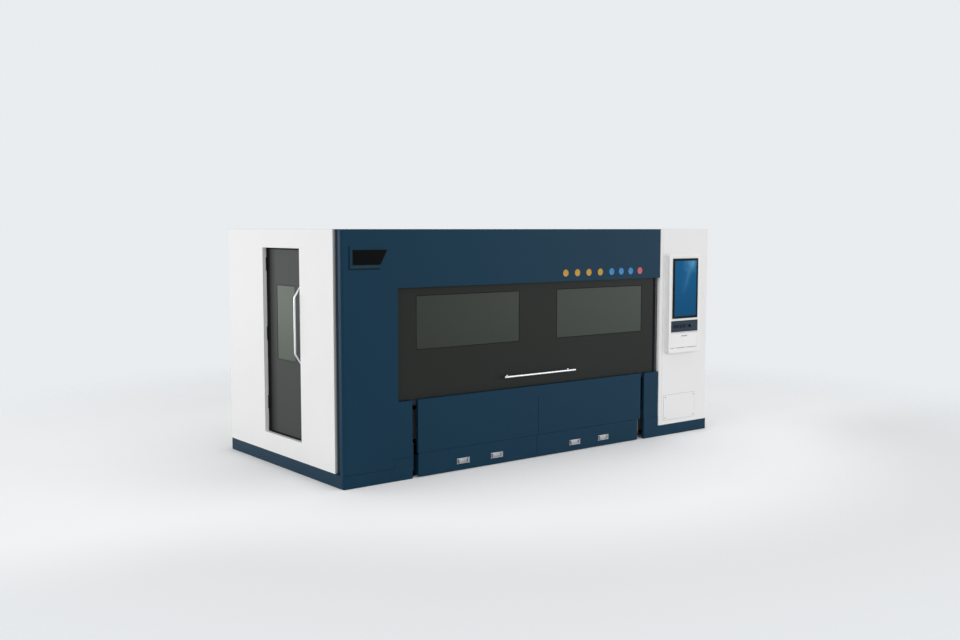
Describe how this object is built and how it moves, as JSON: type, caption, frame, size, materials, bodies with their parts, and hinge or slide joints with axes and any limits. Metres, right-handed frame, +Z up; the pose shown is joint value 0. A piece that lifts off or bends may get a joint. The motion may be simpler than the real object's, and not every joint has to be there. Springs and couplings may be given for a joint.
{
  "type": "enclosed sheet laser cutting machine",
  "caption": "Enclosed sheet laser cutter: navy and white housing, lifting front door with windows, hinged side door, slag drawers, operator console and a moving gantry inside.",
  "frame": {"origin": "on the floor at the centre of the footprint", "axes": "+X from left to right along the front, +Y from the front into the depth, +Z up"},
  "size_m": [4.434, 2.192, 2.1],
  "materials": {
    "navy_paint": "satin powder coat",
    "white_paint": "satin powder coat",
    "groove_grey": "satin",
    "drawer_navy": "satin powder coat",
    "door_charcoal": "satin powder coat",
    "side_door_grey": "satin powder coat",
    "tinted_window": "tinted safety pane",
    "handle_aluminium": "brushed",
    "chest_handle_steel": "zinc plated",
    "hinge_steel": "satin",
    "badge_black": "gloss",
    "frame_steel": "matt",
    "guide_steel": "zinc plated",
    "cylinder_steel": "satin",
    "rail_steel": "ground",
    "slat_steel": "mill finish",
    "chute_steel": "galvanised",
    "cabinet_grey": "fine texture",
    "gantry_paint": "satin",
    "motor_black": "satin",
    "carriage_steel": "ground",
    "carriage_paint": "satin",
    "head_aluminium": "anodised",
    "console_white": "satin powder coat",
    "bezel_black": "fine texture",
    "screen_blue": "display, lit blue",
    "button_panel_dark": "satin",
    "key_grey": "satin"
  },
  "bodies": {
    "frame": {"front_portal": "navy_paint", "base_plinth": "navy_paint", "corner_groove_channel": "groove_grey", "left_side_panel": "white_paint", "rear_panels": "white_paint", "roof_panel": "white_paint", "lower_front_panels": "navy_paint", "column_front": "white_paint", "column_access_cover": "white_paint", "column_side_panels": "white_paint", "badge_plate": "badge_black", "tube_frame": "frame_steel", "door_guides": "guide_steel", "door_lift_cylinders": "cylinder_steel", "side_door_hinges": "hinge_steel", "drawer_runners": "guide_steel", "console_housing": "console_white", "screen_bezel": "bezel_black", "screen_glass": "screen_blue", "button_panel": "button_panel_dark", "machine_bed": "frame_steel", "levelling_feet": "guide_steel", "bed_rails": "rail_steel", "table_frame": "frame_steel", "support_slats": "slat_steel", "slag_chutes": "chute_steel", "suction_box": "chute_steel", "exhaust_pipe": "chute_steel", "column_cabinets": "cabinet_grey"},
    "front_door": {"front_door_leaf": "door_charcoal", "front_door_windows": "tinted_window", "front_door_handle": "handle_aluminium", "front_door_runners": "cylinder_steel"},
    "side_door": {"side_door_leaf": "side_door_grey", "side_door_window": "tinted_window", "side_door_handle": "handle_aluminium"},
    "drawer_left": {"slag_drawer_left": "drawer_navy", "handle_plates_left": "chest_handle_steel"},
    "drawer_right": {"slag_drawer_right": "drawer_navy", "handle_plates_right": "chest_handle_steel"},
    "bail_left_1": {"bail_left_1": "chest_handle_steel"},
    "bail_left_2": {"bail_left_2": "chest_handle_steel"},
    "bail_right_1": {"bail_right_1": "chest_handle_steel"},
    "bail_right_2": {"bail_right_2": "chest_handle_steel"},
    "key_1": {"panel_key_1": "key_grey"},
    "key_2": {"panel_key_2": "key_grey"},
    "key_3": {"panel_key_3": "key_grey"},
    "key_4": {"panel_key_4": "key_grey"},
    "mode_switch": {"mode_switch": "key_grey"},
    "keyboard_flap": {"keyboard_flap": "console_white", "keyboard": "bezel_black"},
    "gantry": {"gantry_beam": "gantry_paint", "x_carriages": "carriage_steel", "x_drive_motors": "motor_black"},
    "cross_carriage": {"cross_carriage": "carriage_paint"},
    "z_slide": {"z_slide": "carriage_steel", "laser_head": "head_aluminium"},
    "x_pinion_front": {"x_pinion_front": "carriage_steel"},
    "x_pinion_rear": {"x_pinion_rear": "carriage_steel"},
    "y_pinion": {"y_pinion": "carriage_steel"}
  },
  "joints": [
    {"name": "front_door_lift", "type": "slide", "parent": "frame", "child": "front_door", "axis": [0, 0, 1], "range_m": [0, 0.8]},
    {"name": "side_door_hinge", "type": "hinge", "parent": "frame", "child": "side_door", "pos_m": [-2.165, 0.329, 1.106], "axis": [0, 0, -1], "range_deg": [0, 100]},
    {"name": "drawer_left_slide", "type": "slide", "parent": "frame", "child": "drawer_left", "axis": [0, -1, 0], "range_m": [0, 1.2]},
    {"name": "drawer_right_slide", "type": "slide", "parent": "frame", "child": "drawer_right", "axis": [0, -1, 0], "range_m": [0, 1.2]},
    {"name": "bail_left_1_hinge", "type": "hinge", "parent": "drawer_left", "child": "bail_left_1", "pos_m": [-0.9935, -1.044, 0.096], "axis": [-1, 0, 0], "range_deg": [0, 90]},
    {"name": "bail_left_2_hinge", "type": "hinge", "parent": "drawer_left", "child": "bail_left_2", "pos_m": [-0.6175, -1.044, 0.096], "axis": [-1, 0, 0], "range_deg": [0, 90]},
    {"name": "bail_right_1_hinge", "type": "hinge", "parent": "drawer_right", "child": "bail_right_1", "pos_m": [0.3315, -1.044, 0.096], "axis": [-1, 0, 0], "range_deg": [0, 90]},
    {"name": "bail_right_2_hinge", "type": "hinge", "parent": "drawer_right", "child": "bail_right_2", "pos_m": [0.7075, -1.044, 0.096], "axis": [-1, 0, 0], "range_deg": [0, 90]},
    {"name": "key_1_press", "type": "slide", "parent": "frame", "child": "key_1", "axis": [0, 1, 0], "range_m": [0, 0.003], "stiffness_N_per_m": 400},
    {"name": "key_2_press", "type": "slide", "parent": "frame", "child": "key_2", "axis": [0, 1, 0], "range_m": [0, 0.003], "stiffness_N_per_m": 400},
    {"name": "key_3_press", "type": "slide", "parent": "frame", "child": "key_3", "axis": [0, 1, 0], "range_m": [0, 0.003], "stiffness_N_per_m": 400},
    {"name": "key_4_press", "type": "slide", "parent": "frame", "child": "key_4", "axis": [0, 1, 0], "range_m": [0, 0.003], "stiffness_N_per_m": 400},
    {"name": "mode_switch_turn", "type": "hinge", "parent": "frame", "child": "mode_switch", "pos_m": [1.873, -1.09, 1.112], "axis": [0, -1, 0], "range_deg": [-60, 60]},
    {"name": "keyboard_flap_hinge", "type": "hinge", "parent": "frame", "child": "keyboard_flap", "pos_m": [1.795, -1.086, 0.8995], "axis": [1, 0, 0], "range_deg": [0, 90]},
    {"name": "gantry_travel", "type": "slide", "parent": "frame", "child": "gantry", "axis": [1, 0, 0], "range_m": [0, 3]},
    {"name": "cross_travel", "type": "slide", "parent": "gantry", "child": "cross_carriage", "axis": [0, 1, 0], "range_m": [0, 1.5]},
    {"name": "head_lift", "type": "slide", "parent": "cross_carriage", "child": "z_slide", "axis": [0, 0, 1], "range_m": [0, 0.12]},
    {"name": "x_pinion_front_turn", "type": "hinge", "parent": "gantry", "child": "x_pinion_front", "pos_m": [-1.858, -0.902, 0.577], "axis": [0, 0, 1], "range_deg": [0, 7820]},
    {"name": "x_pinion_rear_turn", "type": "hinge", "parent": "gantry", "child": "x_pinion_rear", "pos_m": [-1.858, 0.902, 0.577], "axis": [0, 0, 1], "range_deg": [-7820, 0]},
    {"name": "y_pinion_turn", "type": "hinge", "parent": "cross_carriage", "child": "y_pinion", "pos_m": [-1.748, -0.75, 1.094], "axis": [0, 0, 1], "range_deg": [0, 3910]}
  ],
  "couplings": [
    {"joint": "x_pinion_front_turn", "follows": "gantry_travel", "rad_per_m": 45.455},
    {"joint": "x_pinion_rear_turn", "follows": "gantry_travel", "rad_per_m": -45.455},
    {"joint": "y_pinion_turn", "follows": "cross_travel", "rad_per_m": 45.455}
  ]
}
